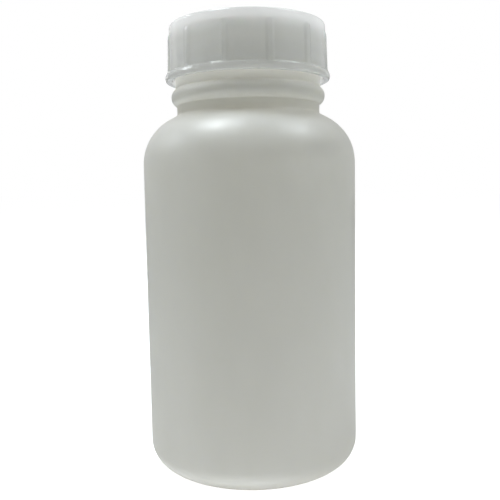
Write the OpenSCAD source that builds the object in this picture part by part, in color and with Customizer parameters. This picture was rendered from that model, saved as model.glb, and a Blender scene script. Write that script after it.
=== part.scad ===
// Wide-neck reagent bottle with a screw cap and a pressed-in sealing disc.
// Millimetres. The origin is the centre of the base, on the surface it stands on; +Z is up.

/* [Bottle body] */
// Outside diameter of the body
body_d = 76; // [72:0.5:90]
// Height at which the straight side turns into the shoulder
side_top = 108.5; // [80:0.5:150]
// Radius of the rounded edge around the base
base_edge_r = 8.8; // [5:0.2:12]
// Radius of the rounded shoulder
shoulder_r = 17.6; // [12:0.2:19]
// Wall thickness of the body
wall = 1.3; // [0.8:0.1:1.8]
// Depth of the push-up under the base
push_up = 1.8; // [1:0.1:3]

/* [Neck] */
// Outside diameter of the neck under its thread
neck_d = 51.6; // [46:0.2:52]
// Wall thickness of the neck
neck_wall = 1.7; // [1.3:0.1:2.2]
// Distance from the shoulder to the rim of the mouth
neck_h = 26.4; // [25:0.1:29]
// How far the rounded ring stands out from the neck
ring_h = 1.6; // [1:0.1:2]
// Rise of the screw thread in one turn
thread_pitch = 3.5; // [3.2:0.1:4]
// Height of the thread, out from the neck or in from the cap
thread_h = 1.1; // [0.8:0.05:1.2]
// Turns of thread on the neck, and the same in the cap
thread_turns = 2; // [1:0.25:2]

/* [Screw cap] */
// Wall thickness of the cap between its grip ribs
cap_wall = 1.2; // [1:0.1:2]
// Height of the cap
cap_h = 19.5; // [19.5:0.1:21]
// How far the lip at the foot of the cap stands out
lip_out = 1.2; // [0.8:0.1:1.6]
// Number of grip ribs around the cap
rib_count = 12; // [8:1:20]
// Width of a grip rib at its foot
rib_w = 3.4; // [2.6:0.2:5]
// How far a grip rib stands out
rib_h = 0.65; // [0.4:0.05:0.9]
// Depth of the round recess in the top of the cap
recess_depth = 1; // [0.6:0.1:1.2]

/* [Sealing disc] */
// Thickness of the sealing disc
disc_t = 2; // [1.4:0.1:2]

/* [Hidden] */
$fn = 96;

// Gaps between pieces that touch when the cap is tight.
seal_gap = 0.05;
thread_gap = 0.2;

// Straight pieces in a rounded outline: a large arc, and a small one such as the rim's.
arc_steps = 12;
small_arc_steps = 4;

// Body and shoulder. The shoulder turns this many degrees in from the side, then slopes to the neck.
body_r = body_d / 2;
shoulder_turn = 61;
shoulder_end = [
    body_r - shoulder_r * (1 - cos(shoulder_turn)),
    side_top + shoulder_r * sin(shoulder_turn)
];
inside_turn = shoulder_turn - 8;

// Neck, which is a little narrower below its ring than above it.
neck_r = neck_d / 2;
bore_r = neck_r - neck_wall;
throat_r = neck_r - 0.35;
neck_foot_z = shoulder_end.y + (shoulder_end.x - throat_r) / tan(shoulder_turn);
rim_z = neck_foot_z + neck_h;
rim_round = 0.5;

// The neck's ring: part of an ellipse whose centre lies inside the wall.
ring_z = neck_foot_z + 6.3;
ring_depth = 1.3;
ring_centre_r = neck_r - ring_depth;
ring_semi = [ring_depth + ring_h, 3.1];
ring_foot_turn = acos((throat_r - ring_centre_r) / ring_semi.x);
ring_head_turn = acos((neck_r - ring_centre_r) / ring_semi.x);

// Base: a flat standing ring, and a shallow push-up inside it.
stand_w = 2.6;
stand_out_r = body_r - base_edge_r;
stand_in_r = stand_out_r - stand_w;
push_up_slope = 4;

// Thread: the crest is narrower than the root, and the last stretch at each end runs out.
thread_root_w = 2;
thread_crest_w = 0.8;
thread_bite = 0.5;
thread_steps = 48;
thread_runout = 30;
thread_end_height = 0.5;
neck_thread_z = rim_z - 10.6;
neck_thread_start = 198;

// The cap's thread rests under the neck's: lower by the drop, and starting earlier by the lead.
cap_thread_drop = 1.45;
cap_thread_lead = 36;
cap_thread_z = neck_thread_z - cap_thread_drop - thread_pitch * cap_thread_lead / 360;

// Cap: skirt, lip, and the plate at its top with a recess and the mark left by moulding.
cap_overlap = 14.7;
cap_z = rim_z - cap_overlap;
cap_top_z = cap_z + cap_h;
skirt_r = neck_r + thread_h + thread_gap / 2;
cap_r = skirt_r + cap_wall;
cap_taper = 0.5;
cap_edge_r = 1;
cap_edge_z = cap_top_z - cap_edge_r;
lip_round = 1.25;
lip_turn = 60;
lip_h = 2.6;
foot_chamfer = [0.4, 0.5];
top_rim_w = 4.6;
recess_r = cap_r - top_rim_w;
gate_r = 1.1;
gate_h = 0.4;

// Grip ribs: rooted in the middle of the cap's wall, they slope in under its top edge.
rib_root_r = skirt_r + cap_wall / 2;
rib_top_z = cap_top_z - 5.6;
rib_fade = 2.5;
rib_lean = 0.3;

// Sealing disc, and its seat in the cap, which reaches down around the mouth.
disc_seat_r = neck_r + 0.4;
disc_r = disc_seat_r - seal_gap;
disc_z = rim_z + seal_gap;
plate_z = disc_z + disc_t + seal_gap;
seat_foot_z = rim_z - 1.4;
seat_slope_h = 0.8;

// Points along part of an ellipse, from angle a0 to angle a1, in steps of the given number.
function arc(centre, semi, a0, a1, steps) = [
    for (i = [0:steps])
        let (a = a0 + (a1 - a0) * i / steps)
            [centre.x + semi.x * cos(a), centre.y + semi.y * sin(a)]
];

// Outside of the bottle, from the middle of the base up to the rim.
function bottle_outside() = concat(
    [[0, push_up], [stand_in_r - push_up_slope, push_up], [stand_in_r, 0]],
    arc([stand_out_r, base_edge_r], [base_edge_r, base_edge_r], -90, 0, arc_steps),
    arc([body_r - shoulder_r, side_top], [shoulder_r, shoulder_r], 0, shoulder_turn, arc_steps),
    [[throat_r, neck_foot_z]],
    arc([ring_centre_r, ring_z], ring_semi, -ring_foot_turn, ring_head_turn, arc_steps),
    arc([neck_r - rim_round, rim_z - rim_round], [rim_round, rim_round], 0, 90, small_arc_steps)
);

// Inside of the bottle, from the rim down to the middle of the base.
function bottle_inside() = concat(
    arc([bore_r + rim_round, rim_z - rim_round], [rim_round, rim_round], 90, 180, small_arc_steps),
    [[bore_r, shoulder_end.y]],
    arc([body_r - shoulder_r, side_top], [shoulder_r - wall, shoulder_r - wall],
        inside_turn, 0, arc_steps),
    arc([stand_out_r, base_edge_r], [base_edge_r - wall, base_edge_r - wall], 0, -90, arc_steps),
    [[stand_in_r, wall], [stand_in_r - push_up_slope, push_up + wall], [0, push_up + wall]]
);

// One cross-section of a thread. share is its height there, from 0 at the root to 1 at the crest.
function thread_section(root_r, crest_r, share, a, z) =
    let (
        top_r = root_r + (crest_r - root_r) * share,
        root = thread_root_w / 2,
        crest = thread_crest_w / 2,
        inner = min(root_r, top_r),
        outer = max(root_r, top_r),
        inner_half = root_r < top_r ? root : crest,
        outer_half = root_r < top_r ? crest : root
    ) [
        [inner * cos(a), inner * sin(a), z - inner_half],
        [outer * cos(a), outer * sin(a), z - outer_half],
        [outer * cos(a), outer * sin(a), z + outer_half],
        [inner * cos(a), inner * sin(a), z + inner_half]
    ];

// Right-hand helical ridge: each step is a cross-section joined to the one before it.
module thread_ridge(root_r, crest_r, start_z, start_a) {
    sweep = 360 * thread_turns;
    steps = ceil(thread_steps * thread_turns);
    sections = [
        for (i = [0:steps])
            let (
                turned = sweep * i / steps,
                from_end = min(turned, sweep - turned) / thread_runout,
                share = min(1, thread_end_height + (1 - thread_end_height) * from_end)
            )
            thread_section(root_r, crest_r, share, start_a + turned,
                start_z + thread_pitch * turned / 360)
    ];
    points = [for (section = sections) each section];
    sides = [
        for (i = [0:steps - 1], k = [0:3])
            let (here = 4 * i, next = 4 * (i + 1), k2 = (k + 1) % 4)
            each [
                [here + k, next + k2, next + k],
                [here + k, here + k2, next + k2]
            ]
    ];
    ends = [[3, 2, 1, 0], [4 * steps, 4 * steps + 1, 4 * steps + 2, 4 * steps + 3]];
    polyhedron(points = points, faces = concat(sides, ends));
}

// Blow-moulded bottle: body, shoulder, neck with its ring, and the outside thread.
module bottle() {
    color([0.82, 0.83, 0.81]) {
        rotate_extrude() polygon(concat(bottle_outside(), bottle_inside()));
        thread_ridge(neck_r - thread_bite, neck_r + thread_h - thread_gap / 2,
            neck_thread_z, neck_thread_start);
    }
}

// Outside of the cap between the ribs: lip, tapered skirt, rounded edge, recessed top.
function cap_outside() = concat(
    arc([cap_r, cap_z + lip_round], [lip_out, lip_round], -90, lip_turn, arc_steps),
    [[cap_r, cap_z + lip_h]],
    arc([cap_r - cap_taper - cap_edge_r, cap_edge_z], [cap_edge_r, cap_edge_r], 0, 90, small_arc_steps),
    [
        [recess_r + recess_depth, cap_top_z],
        [recess_r, cap_top_z - recess_depth],
        [0, cap_top_z - recess_depth]
    ]
);

// Inside of the cap: disc seat under the plate, then the skirt's bore with a chamfered foot.
function cap_inside() = [
    [0, plate_z],
    [disc_seat_r, plate_z],
    [disc_seat_r, seat_foot_z],
    [skirt_r, seat_foot_z - seat_slope_h],
    [skirt_r, cap_z + foot_chamfer.y],
    [skirt_r + foot_chamfer.x, cap_z]
];

// One grip rib: upright, tapered like the skirt, and sloping in under the cap's top edge.
module grip_rib() {
    rotate([90, 0, 0]) linear_extrude(rib_w, center = true) polygon([
        [rib_root_r, cap_z + lip_round],
        [cap_r + rib_h, cap_z + lip_round],
        [cap_r + rib_h - rib_lean, rib_top_z],
        [rib_root_r, rib_top_z + rib_fade]
    ]);
}

// Moulded screw cap: skirt with a lip, grip ribs, recessed top and the inside thread.
module screw_cap() {
    color([0.93, 0.94, 0.94]) {
        rotate_extrude() polygon(concat(cap_outside(), cap_inside()));
        for (i = [0:rib_count - 1]) rotate(360 / rib_count * (i + 0.5)) grip_rib();
        translate([0, 0, cap_top_z - recess_depth - gate_h]) cylinder(r = gate_r, h = 2 * gate_h);
        thread_ridge(skirt_r + thread_bite, skirt_r - thread_h + thread_gap / 2,
            cap_thread_z, neck_thread_start - cap_thread_lead);
    }
}

// Soft disc pressed under the cap's top, which closes the mouth.
module sealing_disc() {
    color([0.97, 0.97, 0.95]) translate([0, 0, disc_z]) cylinder(r = disc_r, h = disc_t);
}

bottle();
screw_cap();
sealing_disc();
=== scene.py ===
import math

import bpy
import numpy as np
from mathutils import Euler, Matrix, Vector


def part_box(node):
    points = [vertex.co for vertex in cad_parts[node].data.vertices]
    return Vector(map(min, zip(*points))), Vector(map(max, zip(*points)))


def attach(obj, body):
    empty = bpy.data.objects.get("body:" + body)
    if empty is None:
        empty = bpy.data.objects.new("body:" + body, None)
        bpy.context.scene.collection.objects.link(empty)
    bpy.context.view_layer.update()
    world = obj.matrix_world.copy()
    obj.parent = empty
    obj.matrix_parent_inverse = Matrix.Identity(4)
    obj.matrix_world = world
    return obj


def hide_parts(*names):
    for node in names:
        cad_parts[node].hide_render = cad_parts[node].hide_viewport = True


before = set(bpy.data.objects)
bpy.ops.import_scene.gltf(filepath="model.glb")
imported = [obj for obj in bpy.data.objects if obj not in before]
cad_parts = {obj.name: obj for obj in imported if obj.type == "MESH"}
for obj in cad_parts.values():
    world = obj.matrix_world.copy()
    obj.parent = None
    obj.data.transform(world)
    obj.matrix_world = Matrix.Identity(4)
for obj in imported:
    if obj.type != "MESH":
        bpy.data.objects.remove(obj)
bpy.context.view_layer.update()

# All shapes below are worked out in millimetres and scaled to metres when a mesh is made.
MM = 0.001


# ---------------------------------------------------------------- sizes, from the frame

def span(node):
    """Radius, lowest z and highest z of a CAD node, in millimetres."""
    low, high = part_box(node)
    return high.x / MM, low.z / MM, high.z / MM


BODY_R, _, RIM_Z = span("bottle")
LIP_R, CAP_Z, CAP_TOP = span("screw_cap")
DISC_R, DISC_Z, DISC_TOP = span("sealing_disc")

# Bottle: edges, walls and shoulder. The skin stays a hair inside the frame's box.
SKIN_INSET = 0.08
WALL = 1.3
BASE_EDGE_R = 8.8
SHOULDER_R = 17.6
SHOULDER_TURN = math.radians(61)
SIDE_TOP = RIM_Z - 43.7
PUSH_UP = 1.8
STAND_IN_R = BODY_R - BASE_EDGE_R - 2.6
PUSH_UP_SLOPE = 4.0

# Neck, measured from the cap's seat and the rim.
NECK_R = DISC_R - 0.35
NECK_WALL = 1.7
BORE_R = NECK_R - NECK_WALL
THROAT_R = NECK_R - 0.35
RIM_ROUND = 0.6
RING_Z = RIM_Z - 20.1
RING_CENTRE_R = NECK_R - 1.3
RING_SEMI_R = 2.9
RING_SEMI_Z = 3.1

# Thread: right-hand, the same helix on the neck and in the cap, where it is lower by the drop and
# starts earlier by the lead.
PITCH = 3.5
THREAD_H = 0.98
THREAD_ROOT = 2.0
THREAD_CREST = 0.8
THREAD_TURNS = 2.0
THREAD_RUNOUT = math.radians(22)
THREAD_Z = RIM_Z - 10.6
THREAD_START = math.radians(198)
CAP_THREAD_DROP = 1.45
CAP_THREAD_LEAD = math.radians(36)

# Faint shape of the blown skin. Each wave is (lobes around, turn per millimetre of height, phase).
WAVES = [(3, 0.045, 0.0), (5, -0.08, 1.3), (2, 0.13, 4.1)]
WAVE_H = 0.035
WAVE_TOP = RING_Z - RING_SEMI_Z - 2.0
WAVE_FADE = 8.0

# The mould's parting lines up both sides, and the weld across the push-up.
SEAM_H = 0.06
SEAM_HALF = 0.35
SEAM_TOP = RIM_Z - 13.0
SEAM_TOP_FADE = 1.5
SEAM_FOOT_R = STAND_IN_R + 3.0
WELD_H = 0.35
WELD_HALF = 0.9
WELD_END_R = STAND_IN_R - PUSH_UP_SLOPE
LINE_FADE = 2.0

# How far the ring is blended into the neck: the fillet's size, and its reach in z and r.
RING_FILLET = 0.25
RING_BLEND_Z = 1.0
RING_BLEND_R = 2.0

# Cap: skirt, lip, disc seat, and the top's recess with its gate mark.
SKIRT_R = NECK_R + 1.2
BORE_BAND = 0.2
CAP_R = LIP_R - 1.2
CAP_TAPER = 0.5
CAP_EDGE_R = 1.1
LIP_H = 2.5
FOOT_CHAMFER_R = 0.4
FOOT_CHAMFER_Z = 0.5
SEAT_R = DISC_R + 0.05
SEAT_FOOT_Z = RIM_Z - 1.4
SEAT_SLOPE_H = 0.8
PLATE_Z = DISC_TOP + 0.05
RECESS_R = CAP_R - 4.6
RECESS_DEPTH = 1.0
RECESS_Z = CAP_TOP - RECESS_DEPTH
GATE_R = 1.1
GATE_Z = RECESS_Z + 0.35

# Grip ribs: half widths at crest and foot, and where they fade out at the lip and near the top.
RIB_COUNT = 12
RIB_H = 0.58
RIB_CREST_HALF = 0.6
RIB_FOOT_HALF = 1.75
RIB_FOOT_Z = CAP_Z + LIP_H - 0.3
RIB_FOOT_FADE = 0.7
RIB_TOP = CAP_TOP - 3.6
RIB_END = 2.2

# Points across half a rib's crest, across one of its flanks, and across half the gap to the next rib.
CREST_POINTS = 4
FLANK_POINTS = 8
GAP_POINTS = 7

# Sealing disc: depth of the print that the bottle's rim leaves in it.
RIM_PRINT = 0.12

# Columns of vertices around the bottle and the disc.
BOTTLE_COLUMNS = 288
DISC_COLUMNS = 144


# ---------------------------------------------------------------- outlines and revolved meshes

def rounded(corners, arc_step=math.radians(6)):
    """Points along a path of (r, z, fillet radius, step) corners, each corner rounded by its own fillet.

    step is the spacing of the points on the straight run that leads to that corner."""
    points = [np.array(corners[0][:2], float)]
    for before, here, after in zip(corners, corners[1:], corners[2:]):
        corner = np.array(here[:2], float)
        back = np.array(before[:2], float) - corner
        ahead = np.array(after[:2], float) - corner
        back /= np.linalg.norm(back)
        ahead /= np.linalg.norm(ahead)
        half = math.acos(max(-1.0, min(1.0, float(back @ ahead)))) / 2
        reach = here[2] / math.tan(half)
        middle = (back + ahead) / np.linalg.norm(back + ahead)
        centre = corner + middle * here[2] / math.sin(half)
        add_straight(points, corner + back * reach, here[3])
        start = corner + back * reach - centre
        end = corner + ahead * reach - centre
        turn = math.pi - 2 * half
        side = np.sign(start[0] * end[1] - start[1] * end[0])
        steps = max(2, math.ceil(turn / arc_step))
        for k in range(1, steps + 1):
            a = side * turn * k / steps
            spun = (start[0] * math.cos(a) - start[1] * math.sin(a),
                    start[0] * math.sin(a) + start[1] * math.cos(a))
            points.append(centre + spun)
    add_straight(points, np.array(corners[-1][:2], float), corners[-1][3])
    return np.array(points)


def add_straight(points, end, step):
    """Adds evenly spaced points from the path's last point up to end."""
    start = points[-1]
    count = max(1, round(float(np.linalg.norm(end - start)) / step))
    for k in range(1, count + 1):
        points.append(start + (end - start) * k / count)


def ring_faces(rows, columns):
    """Quads between neighbouring rings of vertices, and a fan that closes each end.

    The two end vertices come after all the rings."""
    here = np.arange(columns)
    beside = (here + 1) % columns
    faces = []
    for low in range(0, (rows - 1) * columns, columns):
        high = low + columns
        faces += np.stack([low + here, low + beside, high + beside, high + here], 1).tolist()
    first_end = rows * columns
    last_end = first_end + 1
    last_ring = first_end - columns
    for left, right in zip(here.tolist(), beside.tolist()):
        faces.append([first_end, right, left])
    for left, right in zip(here.tolist(), beside.tolist()):
        faces.append([last_ring + left, last_ring + right, last_end])
    return faces


def revolve(name, runs, azimuths):
    """A closed solid of revolution. Each run is its points, and shape(azimuth, r, z) for the real r and z.

    The first point of the first run and the last point of the last run lie on the axis."""
    rings = []
    for points, shape in runs:
        a, r = np.meshgrid(azimuths, points[:, 0])
        z = np.repeat(points[:, 1:2], len(azimuths), axis=1)
        if shape:
            r, z = shape(a, r, z)
        rings.append(np.stack([r * np.cos(a), r * np.sin(a), z], axis=-1))
    rings = np.concatenate(rings)
    between = rings[1:-1]
    ends = [rings[0, 0], rings[-1, 0]]
    verts = np.concatenate([between.reshape(-1, 3), ends]) * MM
    mesh = bpy.data.meshes.new(name)
    mesh.from_pydata(verts.tolist(), [], ring_faces(*between.shape[:2]))
    mesh.polygons.foreach_set("use_smooth", [True] * len(mesh.polygons))
    mesh.validate()
    piece = bpy.data.objects.new(name, mesh)
    bpy.context.scene.collection.objects.link(piece)
    return piece


def even_azimuths(count):
    """That many azimuths, evenly spaced around a full turn."""
    return np.arange(count) * 2 * math.pi / count


def smooth_step(t):
    """0 to 1 with a soft start and end."""
    t = np.clip(t, 0.0, 1.0)
    return t * t * (3 - 2 * t)


def soft_max(a, b, blend):
    """The larger of two radii, with a fillet of about the given size where they meet."""
    return 0.5 * (a + b + np.sqrt((a - b) ** 2 + blend ** 2))


def thread_height(a, z, start_a, start_z):
    """Height of the helical ridge, 0 to 1, at azimuth a and height z."""
    height = np.zeros_like(z)
    sweep = 2 * math.pi * THREAD_TURNS
    first = np.mod(a - start_a, 2 * math.pi)
    for turn in range(math.ceil(THREAD_TURNS) + 1):
        turned = first + 2 * math.pi * turn
        off = np.abs(z - start_z - PITCH * turned / (2 * math.pi))
        across = smooth_step((THREAD_ROOT / 2 - off) / ((THREAD_ROOT - THREAD_CREST) / 2))
        along = smooth_step(np.minimum(turned, sweep - turned) / THREAD_RUNOUT)
        height = np.maximum(height, across * along)
    return height


# ---------------------------------------------------------------- bottle

def skin_waves(a, r, z):
    """How far the slow waves lie inside the body's full radius. The neck and the base's middle have none."""
    body = smooth_step((WAVE_TOP - z) / WAVE_FADE) * smooth_step(2 * r / BODY_R - 1)
    waves = sum(np.sin(lobes * a + turn * z + phase) for lobes, turn, phase in WAVES)
    return body * WAVE_H * (1 + waves / len(WAVES)) / 2


def mould_lines(a, r, z):
    """Heights, 0 to 1, of the parting lines up the sides and of the weld across the base."""
    off = r * np.abs(np.sin(a))
    seam = smooth_step(1 - off / SEAM_HALF) * smooth_step((SEAM_TOP - z) / SEAM_TOP_FADE)
    seam *= smooth_step((r - SEAM_FOOT_R) / LINE_FADE)
    weld = smooth_step(1 - off / WELD_HALF) * smooth_step((WELD_END_R - r) / LINE_FADE)
    return seam, weld


def with_ring(r, z):
    """The radius with the neck's rounded ring blended in."""
    off = np.abs(z - RING_Z)
    lift = np.sqrt(np.clip(1 - (off / RING_SEMI_Z) ** 2, 0, 1))
    ring = RING_CENTRE_R + RING_SEMI_R * lift
    near = (off < RING_SEMI_Z + RING_BLEND_Z) & (r < NECK_R + RING_BLEND_R)
    return np.where(near, soft_max(r, ring, RING_FILLET), r)


def bottle_surface(a, r, z):
    """Outside of the bottle: the skin's waves, the mould's lines, the neck's ring and the thread."""
    seam, weld = mould_lines(a, r, z)
    r = with_ring(r - skin_waves(a, r, z) + seam * SEAM_H, z)
    threaded = (z > CAP_Z) & (z < RIM_Z - RIM_ROUND)
    thread = np.where(threaded, thread_height(a, z, THREAD_START, THREAD_Z) * THREAD_H, 0)
    return r + thread, z - weld * WELD_H


def bottle_runs():
    """Outside from the middle of the base to the rim, then inside back down."""
    skin_r = BODY_R - SKIN_INSET
    cone = 1 / math.tan(SHOULDER_TURN)
    lift = math.tan(SHOULDER_TURN / 2)
    turn_z = SIDE_TOP + SHOULDER_R * math.sin(SHOULDER_TURN)
    turn_r = skin_r - SHOULDER_R * (1 - math.cos(SHOULDER_TURN))
    in_r = SHOULDER_R - WALL
    in_turn_z = SIDE_TOP + in_r * math.sin(SHOULDER_TURN)
    in_turn_r = skin_r - SHOULDER_R + in_r * math.cos(SHOULDER_TURN)
    neck_foot = turn_z + (turn_r - THROAT_R) * cone
    bore_foot = in_turn_z + (in_turn_r - BORE_R) * cone
    outside = rounded([
        (0, PUSH_UP, 0, 1),
        (STAND_IN_R - PUSH_UP_SLOPE, PUSH_UP, 3, 1.5),
        (STAND_IN_R, 0, 0.7, 0.5),
        (skin_r, 0, BASE_EDGE_R, 0.6),
        (skin_r, SIDE_TOP + SHOULDER_R * lift, SHOULDER_R, 1.6),
        (THROAT_R, neck_foot, 0.9, 0.6),
        (THROAT_R + 0.05, RING_Z - RING_SEMI_Z, 1, 0.25),
        (NECK_R, RING_Z + RING_SEMI_Z, 1, 0.2),
        (NECK_R, RIM_Z, RIM_ROUND, 0.2),
        (BORE_R + RIM_ROUND, RIM_Z, 0, 0.3),
    ], arc_step=math.radians(5))
    inside = rounded([
        (BORE_R + RIM_ROUND, RIM_Z, 0, 1),
        (BORE_R, RIM_Z - RIM_ROUND, RIM_ROUND, 0.3),
        (BORE_R, bore_foot, 4, 1.5),
        (skin_r - WALL, SIDE_TOP + in_r * lift, in_r, 1),
        (skin_r - WALL, WALL, BASE_EDGE_R - WALL, 3),
        (STAND_IN_R, WALL, 1.5, 1),
        (STAND_IN_R - PUSH_UP_SLOPE, PUSH_UP + WALL, 3, 1),
        (0, PUSH_UP + WALL, 0, 1.5),
    ], arc_step=math.radians(7))
    return [(outside, bottle_surface), (inside[1:], None)]


# ---------------------------------------------------------------- cap

def cap_surface(a, r, z):
    """Grip ribs on the outside of the cap, rounded along their sides and at their top ends."""
    sector = 2 * math.pi / RIB_COUNT
    off = r * np.abs(np.mod(a, sector) - sector / 2)
    across = smooth_step((RIB_FOOT_HALF - off) / (RIB_FOOT_HALF - RIB_CREST_HALF))
    end = np.clip((z - RIB_TOP + RIB_END) / RIB_END, 0, 1)
    along = np.sqrt(1 - end ** 2) * smooth_step((z - RIB_FOOT_Z) / RIB_FOOT_FADE)
    return r + np.where(r > SKIRT_R, RIB_H * across * along, 0), z


def cap_bore(a, r, z):
    """The inside thread, on the skirt's bore only."""
    start_z = THREAD_Z - CAP_THREAD_DROP - PITCH * CAP_THREAD_LEAD / (2 * math.pi)
    ridge = thread_height(a, z, THREAD_START - CAP_THREAD_LEAD, start_z)
    return r - np.where(r > SKIRT_R - BORE_BAND, ridge * THREAD_H, 0), z


def cap_runs():
    """Underside of the plate and the bore, then the foot, the outside and the recessed top."""
    top_r = CAP_R - CAP_TAPER
    lip_mid = CAP_Z + LIP_H / 2
    inside = rounded([
        (0, PLATE_Z, 0, 1),
        (SEAT_R, PLATE_Z, 0.3, 2),
        (SEAT_R, SEAT_FOOT_Z, 0.4, 0.4),
        (SKIRT_R, SEAT_FOOT_Z - SEAT_SLOPE_H, 0.4, 0.25),
        (SKIRT_R, CAP_Z + FOOT_CHAMFER_Z, 0.2, 0.2),
        (SKIRT_R + FOOT_CHAMFER_R, CAP_Z, 0.15, 0.2),
        (CAP_R, CAP_Z, 0, 0.3),
    ])
    outside = rounded([
        (CAP_R - 0.2, CAP_Z, 0, 0.3),
        (LIP_R - 0.35, CAP_Z, 0.55, 0.25),
        (LIP_R, lip_mid, 0.6, 0.2),
        (LIP_R - 0.3, CAP_Z + LIP_H - 0.2, 0.75, 0.2),
        (CAP_R - 0.02, CAP_Z + LIP_H + 0.25, 0.8, 0.2),
        (top_r, CAP_TOP, CAP_EDGE_R, 0.35),
        (RECESS_R + 0.9, CAP_TOP, 0.7, 0.4),
        (RECESS_R, RECESS_Z, 0.6, 0.3),
        (GATE_R + 0.2, RECESS_Z, 0.15, 2),
        (GATE_R, GATE_Z, 0.12, 0.2),
        (0, GATE_Z, 0, 0.5),
    ])
    return [(inside[:-1], cap_bore), (outside, cap_surface)]


def cap_azimuths():
    """Azimuths that crowd together on the ribs' flanks."""
    half_gap = math.pi * CAP_R / RIB_COUNT
    right = np.concatenate([
        np.linspace(0, RIB_CREST_HALF, CREST_POINTS)[1:],
        np.linspace(RIB_CREST_HALF, RIB_FOOT_HALF, FLANK_POINTS)[1:],
        np.linspace(RIB_FOOT_HALF, half_gap, GAP_POINTS)[1:],
    ]) / CAP_R
    sector = np.concatenate([-right[-2::-1], [0.0], right])
    centres = (np.arange(RIB_COUNT) + 0.5) * 2 * math.pi / RIB_COUNT
    return (centres[:, None] + sector[None, :]).ravel()


# ---------------------------------------------------------------- sealing disc

def disc_runs():
    """A soft disc with rounded edges and the shallow print of the bottle's rim underneath."""
    outline = rounded([
        (0, DISC_Z, 0, 1),
        (BORE_R - 0.2, DISC_Z, 0.5, 2),
        (BORE_R + 0.2, DISC_Z + RIM_PRINT, 0.3, 0.3),
        (NECK_R - 0.5, DISC_Z + RIM_PRINT, 0.3, 0.4),
        (NECK_R - 0.2, DISC_Z, 0.1, 0.3),
        (DISC_R, DISC_Z, 0.25, 0.3),
        (DISC_R, DISC_TOP, 0.25, 0.4),
        (0, DISC_TOP, 0, 2),
    ])
    return [(outline, None)]


# ---------------------------------------------------------------- shader helpers

# The part of a noise texture's range where nearly all of its values lie.
NOISE_LOW = 0.3
NOISE_HIGH = 0.7

# Part of a speck's radius that is fully dark.
SPECK_CORE = 0.6


def new_material(name):
    """An empty node material and its node tree."""
    material = bpy.data.materials.new(name)
    material.use_nodes = True
    material.node_tree.nodes.clear()
    return material, material.node_tree


def feed(tree, value, slot):
    """Links a socket to a node's input, or sets that input to a plain value."""
    if isinstance(value, bpy.types.NodeSocket):
        tree.links.new(value, slot)
    else:
        slot.default_value = value


def add(tree, kind, **settings):
    """A node with its settings and inputs set by name. In a name, _ stands for a space."""
    node = tree.nodes.new(kind)
    for key, value in settings.items():
        if key in node.bl_rna.properties:
            setattr(node, key, value)
        else:
            feed(tree, value, node.inputs[key.replace("_", " ")])
    return node


def place(tree):
    """The point being shaded, in the object's own coordinates."""
    return add(tree, "ShaderNodeTexCoord").outputs["Object"]


def height_mm(tree):
    """Height above the standing surface, in millimetres."""
    axes = add(tree, "ShaderNodeSeparateXYZ", Vector=place(tree))
    return calculate(tree, "MULTIPLY", axes.outputs["Z"], 1 / MM)


def noise(tree, scale, detail=2.0, roughness=0.5, stretch=(1, 1, 1)):
    """Noise in the object's own coordinates. scale is in features per metre."""
    stretched = add(tree, "ShaderNodeMapping", Vector=place(tree), Scale=stretch)
    texture = add(tree, "ShaderNodeTexNoise", Vector=stretched.outputs["Vector"],
                  Scale=scale, Detail=detail, Roughness=roughness)
    return texture.outputs["Fac"]


def noise_between(tree, low, high, **settings):
    """Noise with the given settings, spread out over low..high."""
    return remap(tree, noise(tree, **settings), NOISE_LOW, NOISE_HIGH, low, high)


def remap(tree, value, low, high, to_low, to_high):
    """value rescaled from low..high to to_low..to_high, clamped."""
    node = add(tree, "ShaderNodeMapRange", Value=value, From_Min=low, From_Max=high,
               To_Min=to_low, To_Max=to_high)
    return node.outputs["Result"]


def calculate(tree, operation, first, second=None, vector=False):
    """Result of a maths node, or of a vector maths node. Its inputs are sockets or plain values."""
    node = add(tree, "ShaderNodeVectorMath" if vector else "ShaderNodeMath", operation=operation)
    for value, slot in zip((first, second), node.inputs):
        if value is not None:
            feed(tree, value, slot)
    return node.outputs["Value" if operation in ("DOT_PRODUCT", "LENGTH") else 0]


def mix_color(tree, factor, first, second):
    """Blend of two colours by factor."""
    node = add(tree, "ShaderNodeMix", data_type="RGBA", Factor=factor, A=first, B=second)
    return node.outputs["Result"]


def mix_values(tree, factor, first, second):
    """Blend of two numbers by factor."""
    node = add(tree, "ShaderNodeMix", data_type="FLOAT", Factor=factor, A=first, B=second)
    return node.outputs["Result"]


def mix_shaders(tree, factor, first, second):
    """Blend of two shader nodes' light by factor, as a node."""
    blend = add(tree, "ShaderNodeMixShader")
    for value, slot in zip((factor, first.outputs[0], second.outputs[0]), blend.inputs):
        feed(tree, value, slot)
    return blend


def bump(tree, height, distance, strength=1.0, under=None):
    """Normal from a height, in metres of relief, laid over another normal if one is given."""
    node = add(tree, "ShaderNodeBump", Height=height, Distance=distance, Strength=strength)
    if under is not None:
        tree.links.new(under, node.inputs["Normal"])
    return node.outputs["Normal"]


def specks(tree, per_metre, size, share):
    """1 on small round specks strewn over the surface, 0 elsewhere.

    share is the part of the cells that hold a speck."""
    cells = add(tree, "ShaderNodeTexVoronoi", Vector=place(tree), Scale=per_metre)
    dot = remap(tree, cells.outputs["Distance"], size, size * SPECK_CORE, 0, 1)
    pick = add(tree, "ShaderNodeSeparateColor", Color=cells.outputs["Color"])
    chosen = calculate(tree, "LESS_THAN", pick.outputs["Red"], share)
    return calculate(tree, "MULTIPLY", dot, chosen)


def finish_wall(tree, entering):
    """Shows the entering shader on a face's outside and lets light leave freely at its inside.

    So each wall counts once."""
    side = add(tree, "ShaderNodeNewGeometry")
    leaving = add(tree, "ShaderNodeBsdfTransparent")
    wall = mix_shaders(tree, side.outputs["Backfacing"], entering, leaving)
    add(tree, "ShaderNodeOutputMaterial", Surface=wall.outputs["Shader"])


# ---------------------------------------------------------------- bottle's plastic

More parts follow.
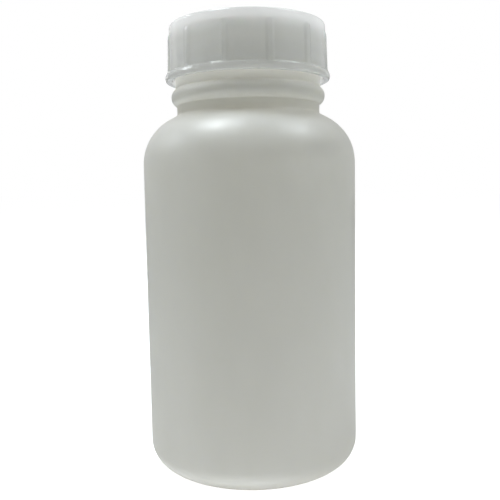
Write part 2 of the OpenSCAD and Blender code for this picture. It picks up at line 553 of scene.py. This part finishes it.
MILK_DEEP = (0.74, 0.728, 0.68, 1)
MILK_PALE = (0.79, 0.775, 0.73, 1)
SPECK_COLOR = (0.42, 0.4, 0.35, 1)
SPECK_DEPTH = 0.35

# Roughness of the clean skin, and what scuffs add to it, from the body down to the foot.
SATIN = (0.41, 0.49)
SCUFF_NOISE = (0.56, 0.66)
SCUFF_HEIGHTS = (7, 0.5)
SCUFF_DEPTHS = (0.05, 0.25)

# Share of light that passes the wall, and how much more passes around the neck's foot: the heights
# over which that extra share comes in and goes out again.
THROUGH_SHARE = 0.3
NECK_SHARE = 0.22
NECK_SHARE_IN = (RING_Z - 11, RING_Z - 8)
NECK_SHARE_OUT = (RING_Z - 6, RING_Z - 3)


def bottle_tint(tree):
    """Milky, a little cloudy, with a few small darker specks."""
    cloud = noise_between(tree, 0, 1, scale=28, detail=3, roughness=0.55, stretch=(1, 1, 0.45))
    clean = mix_color(tree, cloud, MILK_DEEP, MILK_PALE)
    dots = specks(tree, per_metre=110, size=0.035, share=0.3)
    return mix_color(tree, calculate(tree, "MULTIPLY", dots, SPECK_DEPTH), clean, SPECK_COLOR)


def bottle_sheen(tree):
    """Roughness: satin, with scuffs that grow stronger in the lowest few millimetres."""
    satin = noise_between(tree, *SATIN, scale=180, detail=4, roughness=0.6)
    streaks = noise(tree, scale=260, detail=4, roughness=0.65, stretch=(1, 1, 5))
    scuffs = remap(tree, streaks, *SCUFF_NOISE, 0, 1)
    depth = remap(tree, height_mm(tree), *SCUFF_HEIGHTS, *SCUFF_DEPTHS)
    return calculate(tree, "ADD", satin, calculate(tree, "MULTIPLY", scuffs, depth))


def bottle_relief(tree):
    """Normal: fine mould grain under a mottle and slow waves."""
    fine = noise(tree, scale=2600)
    blotches = noise(tree, scale=420, detail=3, roughness=0.6, stretch=(1, 1, 0.35))
    slow = noise(tree, scale=55, roughness=0.4, stretch=(1, 1, 0.6))
    grain = bump(tree, fine, distance=0.00002, strength=0.35)
    mottle = bump(tree, blotches, distance=0.00006, strength=0.5, under=grain)
    return bump(tree, slow, distance=0.0004, strength=0.35, under=mottle)


def bottle_through(tree):
    """Share of light that passes the wall, by height."""
    height = height_mm(tree)
    rise = remap(tree, height, *NECK_SHARE_IN, 0, NECK_SHARE)
    fall = remap(tree, height, *NECK_SHARE_OUT, 1, 0)
    return calculate(tree, "ADD", calculate(tree, "MULTIPLY", rise, fall), THROUGH_SHARE)


def bottle_plastic():
    """Milky polyethylene: light scatters inside its wall, and some passes through."""
    material, tree = new_material("bottle_plastic")
    tint = bottle_tint(tree)
    skin = add(
        tree, "ShaderNodeBsdfPrincipled",
        Base_Color=tint,
        Roughness=bottle_sheen(tree),
        Normal=bottle_relief(tree),
        IOR=1.52,
        Specular_IOR_Level=1.0,
        Subsurface_Weight=1.0,
        Subsurface_Radius=(1.0, 1.0, 0.9),
        Subsurface_Scale=0.0045,
    )
    through = add(tree, "ShaderNodeBsdfTranslucent", Color=tint)
    finish_wall(tree, mix_shaders(tree, bottle_through(tree), skin, through))
    return material


# ---------------------------------------------------------------- cap's plastic

CAP_DEEP = (0.84, 0.84, 0.83, 1)
CAP_PALE = (0.89, 0.885, 0.875, 1)
CLEAR_COLOR = (0.97, 0.975, 0.97, 1)

# Share of light that passes with only a blur, from the cap's wall up to its thick top plate.
CLARITY = (0.5, 0.3)
CLARITY_HEIGHTS = (RIM_Z - 3.5, RIM_Z + 0.5)

# How far light scatters, in metres, from the wall up to the plate.
SCATTER = (0.002, 0.008)
SCATTER_HEIGHTS = (RIM_Z - 2, RIM_Z + 2)

# Share of light that comes through as a glow: it starts at the disc's seat, and grows in the plate.
SEAT_SHARE = 0.2
SEAT_HEIGHTS = (RIM_Z - 4.4, RIM_Z - 3.2)
PLATE_SHARE = 0.27
PLATE_HEIGHTS = (RIM_Z - 1.6, RIM_Z + 1)

# Roughness of the clean gloss, and what rubbed streaks add to it.
POLISH = (0.06, 0.12)
STREAK_NOISE = (0.58, 0.66)
STREAK_DEPTH = 0.18

# Shares of the normal's tilt around the axis, and of its upright part, that the scattered light loses.
RIB_SMOOTHING = 0.8
LIP_SMOOTHING = 0.75


def smoothed_normal(tree):
    """Normal for light that scatters deep in the plastic, which hardly shows the ribs and the lip."""
    normal = add(tree, "ShaderNodeTexCoord").outputs["Normal"]
    tangent = calculate(tree, "CROSS_PRODUCT", (0, 0, 1), place(tree), vector=True)
    tangent = calculate(tree, "NORMALIZE", tangent, vector=True)
    tilt = calculate(tree, "DOT_PRODUCT", normal, tangent, vector=True)
    sideways = calculate(tree, "MULTIPLY", tangent, tilt, vector=True)
    sideways = calculate(tree, "MULTIPLY", sideways, (RIB_SMOOTHING,) * 3, vector=True)
    upward = calculate(tree, "MULTIPLY", normal, (0, 0, LIP_SMOOTHING), vector=True)
    smooth = calculate(tree, "SUBTRACT", normal, sideways, vector=True)
    smooth = calculate(tree, "SUBTRACT", smooth, upward, vector=True)
    smooth = calculate(tree, "NORMALIZE", smooth, vector=True)
    turned = add(tree, "ShaderNodeVectorTransform", vector_type="NORMAL",
                 convert_from="OBJECT", convert_to="WORLD", Vector=smooth)
    return turned.outputs["Vector"]


def cap_depth(tree):
    """Light inside the plastic: part of it scatters, part passes with a blur, and part glows through."""
    haze = noise_between(tree, 0, 1, scale=60, detail=3, stretch=(1, 1, 0.3))
    tint = mix_color(tree, haze, CAP_DEEP, CAP_PALE)
    height = height_mm(tree)
    smooth = smoothed_normal(tree)
    milk = add(
        tree, "ShaderNodeBsdfPrincipled",
        Base_Color=tint,
        Roughness=0.5,
        Normal=smooth,
        Specular_IOR_Level=0.0,
        Subsurface_Weight=1.0,
        Subsurface_Radius=(1.0, 1.0, 1.0),
        Subsurface_Scale=remap(tree, height, *SCATTER_HEIGHTS, *SCATTER),
    )
    clear = add(tree, "ShaderNodeBsdfRefraction", Color=CLEAR_COLOR, IOR=1.2, Roughness=0.4,
                Normal=smooth)
    clarity = remap(tree, height, *CLARITY_HEIGHTS, *CLARITY)
    glow = add(tree, "ShaderNodeBsdfTranslucent", Color=tint)
    seat = remap(tree, height, *SEAT_HEIGHTS, 0, SEAT_SHARE)
    plate = remap(tree, height, *PLATE_HEIGHTS, 0, PLATE_SHARE)
    share = calculate(tree, "ADD", seat, plate)
    return mix_shaders(tree, share, mix_shaders(tree, clarity, milk, clear), glow)


def cap_plastic():
    """Natural polypropylene: clearer and glossier than the bottle, so the neck shows faintly through it."""
    material, tree = new_material("cap_plastic")
    polish = noise_between(tree, *POLISH, scale=240, detail=4, roughness=0.6)
    streaks = noise(tree, scale=500, detail=4, roughness=0.7, stretch=(1, 1, 4))
    rubbed = remap(tree, streaks, *STREAK_NOISE, 0, STREAK_DEPTH)
    roughness = calculate(tree, "ADD", polish, rubbed)
    relief = bump(tree, noise(tree, scale=900, detail=3), distance=0.00002, strength=0.3)
    gloss = add(tree, "ShaderNodeBsdfGlossy", Roughness=roughness, Normal=relief)
    facing = add(tree, "ShaderNodeFresnel", IOR=1.49, Normal=relief)
    finish_wall(tree, mix_shaders(tree, facing.outputs["Fac"], cap_depth(tree), gloss))
    return material


# ---------------------------------------------------------------- disc's foam

FOAM_DEEP = (0.8, 0.8, 0.77, 1)
FOAM_PALE = (0.88, 0.88, 0.86, 1)
FOAM_GRAIN = (0.35, 0.6)
FOAM_SHARE = 0.5


def disc_foam():
    """White closed-cell foam with fine pits."""
    material, tree = new_material("disc_foam")
    grain = remap(tree, noise(tree, scale=1500), *FOAM_GRAIN, 0, 1)
    tint = mix_color(tree, grain, FOAM_DEEP, FOAM_PALE)
    pits = bump(tree, noise(tree, scale=1800, detail=3), distance=0.00008, strength=0.6)
    foam = add(
        tree, "ShaderNodeBsdfPrincipled",
        Base_Color=tint,
        Roughness=0.75,
        Normal=pits,
        IOR=1.45,
        Subsurface_Weight=0.6,
        Subsurface_Scale=0.0015,
    )
    through = add(tree, "ShaderNodeBsdfTranslucent", Color=tint)
    finish_wall(tree, mix_shaders(tree, FOAM_SHARE, foam, through))
    return material


# ---------------------------------------------------------------- floor, light and camera

# Floor: its half width, how far it lies under the bottle's foot, and its paper's colour.
FLOOR_HALF = 12.0
FLOOR_DROP = 0.0001
FLOOR_COLOR = (0.9, 0.9, 0.9, 1)

# The paper's own glow, by distance from the bottle in metres. The camera sees it grow to white, and
# the light it casts sinks to nothing.
FLOOR_SHOWN = (0.84, 1)
FLOOR_SHOWN_REACH = (0.08, 0.4)
FLOOR_CAST = (0.4, 0)
FLOOR_CAST_REACH = (0, 0.3)

# Backdrop in mirrored light: it grows with the direction's Y part, and again with its Z part.
BACKDROP = (0, 0.8)
BACKDROP_Y = (0.0, 0.6)
OVERHEAD = (1, 2.5)
OVERHEAD_Z = (0.3, 0.8)

# Lamps: name, direction from the shoulder, size in metres, power in watts, and whether the lamp also
# shows in scattered light.
LAMPS = [
    ("lamp_left", (-0.345, -0.03, 0.935), 0.3, 6.7, True),
    ("lamp_right", (0.57, -0.06, 0.82), 0.3, 3.4, True),
    ("lamp_glint", (-0.83, 0.14, 0.54), 0.25, 1.7, False),
]
LAMP_DISTANCE = 0.9
LAMP_COLOR = (0.92, 0.985, 1.02)

# Camera: lens in millimetres, place in metres, tip down and roll in degrees.
CAMERA_SENSOR = 36.0
CAMERA_LENS = 47.73
CAMERA_PLACE = (-0.0003, -0.2427, 0.0991)
CAMERA_TIP = 5.157
CAMERA_ROLL = -1.03
CAMERA_NEAR = 0.01


def floor_paper():
    """Pale paper that fades to white with distance. It isn't there from below, so the base can be seen."""
    material, tree = new_material("floor_paper")
    paper = add(tree, "ShaderNodeBsdfDiffuse", Color=FLOOR_COLOR)
    distance = calculate(tree, "LENGTH", place(tree), vector=True)
    cast = remap(tree, distance, *FLOOR_CAST_REACH, *FLOOR_CAST)
    shown = remap(tree, distance, *FLOOR_SHOWN_REACH, *FLOOR_SHOWN)
    path = add(tree, "ShaderNodeLightPath")
    strength = mix_values(tree, path.outputs["Is Camera Ray"], cast, shown)
    glow = add(tree, "ShaderNodeEmission", Strength=strength)
    both = add(tree, "ShaderNodeAddShader")
    tree.links.new(paper.outputs["BSDF"], both.inputs[0])
    tree.links.new(glow.outputs["Emission"], both.inputs[1])
    finish_wall(tree, both)
    return material


def studio_floor():
    """Plain pale floor under the bottle, a hair below its foot."""
    mesh = bpy.data.meshes.new("floor")
    half = FLOOR_HALF
    z = -FLOOR_DROP
    corners = [(-half, -half, z), (half, -half, z), (half, half, z), (-half, half, z)]
    mesh.from_pydata(corners, [], [(0, 1, 2, 3)])
    mesh.materials.append(floor_paper())
    floor = bpy.data.objects.new("floor", mesh)
    bpy.context.scene.collection.objects.link(floor)


def studio_sky():
    """White to the camera and through plastic, a bright backdrop in mirrored light, and dark as a lamp."""
    world = bpy.data.worlds.new("studio")
    bpy.context.scene.world = world
    world.use_nodes = True
    tree = world.node_tree
    tree.nodes.clear()
    where = add(tree, "ShaderNodeTexCoord")
    axes = add(tree, "ShaderNodeSeparateXYZ", Vector=where.outputs["Generated"])
    path = add(tree, "ShaderNodeLightPath")
    behind = remap(tree, axes.outputs["Y"], *BACKDROP_Y, *BACKDROP)
    overhead = remap(tree, axes.outputs["Z"], *OVERHEAD_Z, *OVERHEAD)
    backdrop = calculate(tree, "MULTIPLY", behind, overhead)
    mirrored = calculate(tree, "MULTIPLY", backdrop, path.outputs["Is Glossy Ray"])
    direct = calculate(tree, "MAXIMUM", path.outputs["Is Camera Ray"], path.outputs["Is Transmission Ray"])
    seen = mix_values(tree, direct, mirrored, 1.0)
    sky = add(tree, "ShaderNodeBackground", Color=(1, 1, 1, 1), Strength=seen)
    add(tree, "ShaderNodeOutputWorld", Surface=sky.outputs["Background"])


def softbox(name, direction, size, power, diffuse):
    """A round lamp that shines on the shoulder from the given direction."""
    light = bpy.data.lights.new(name, "AREA")
    light.shape = "DISK"
    light.size = size
    light.energy = power
    light.color = LAMP_COLOR
    lamp = bpy.data.objects.new(name, light)
    aim = Vector((0, 0, SIDE_TOP * MM))
    way = Vector(direction).normalized()
    lamp.location = aim + way * LAMP_DISTANCE
    lamp.rotation_euler = way.to_track_quat("Z", "Y").to_euler()
    lamp.visible_diffuse = diffuse
    bpy.context.scene.collection.objects.link(lamp)


def studio_camera():
    """Close and just above half height, tipped slightly down and turned a degree."""
    data = bpy.data.cameras.new("camera")
    data.sensor_width = CAMERA_SENSOR
    data.lens = CAMERA_LENS
    data.clip_start = CAMERA_NEAR
    camera = bpy.data.objects.new("camera", data)
    tip = Euler((math.radians(90 - CAMERA_TIP), 0, 0)).to_matrix().to_4x4()
    roll = Matrix.Rotation(math.radians(CAMERA_ROLL), 4, "Z")
    camera.matrix_world = Matrix.Translation(CAMERA_PLACE) @ tip @ roll
    bpy.context.scene.collection.objects.link(camera)
    bpy.context.scene.camera = camera


# ---------------------------------------------------------------- the object

def dress(piece, material, node, body):
    """Gives a finished piece its material, hangs it on its body in the frame, and hides the CAD node that it
    replaces.
    """
    piece.data.materials.append(material)
    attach(piece, body)
    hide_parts(node)


bottle_skin = revolve("bottle_skin", bottle_runs(), even_azimuths(BOTTLE_COLUMNS))
cap_shell = revolve("cap_shell", cap_runs(), cap_azimuths())
seal_disc = revolve("seal_disc", disc_runs(), even_azimuths(DISC_COLUMNS))
dress(bottle_skin, bottle_plastic(), "bottle", "bottle_body")
dress(cap_shell, cap_plastic(), "screw_cap", "cap")
dress(seal_disc, disc_foam(), "sealing_disc", "seal")

studio_floor()
studio_sky()
for lamp in LAMPS:
    softbox(*lamp)
studio_camera()
bpy.context.scene.view_settings.view_transform = "Standard"
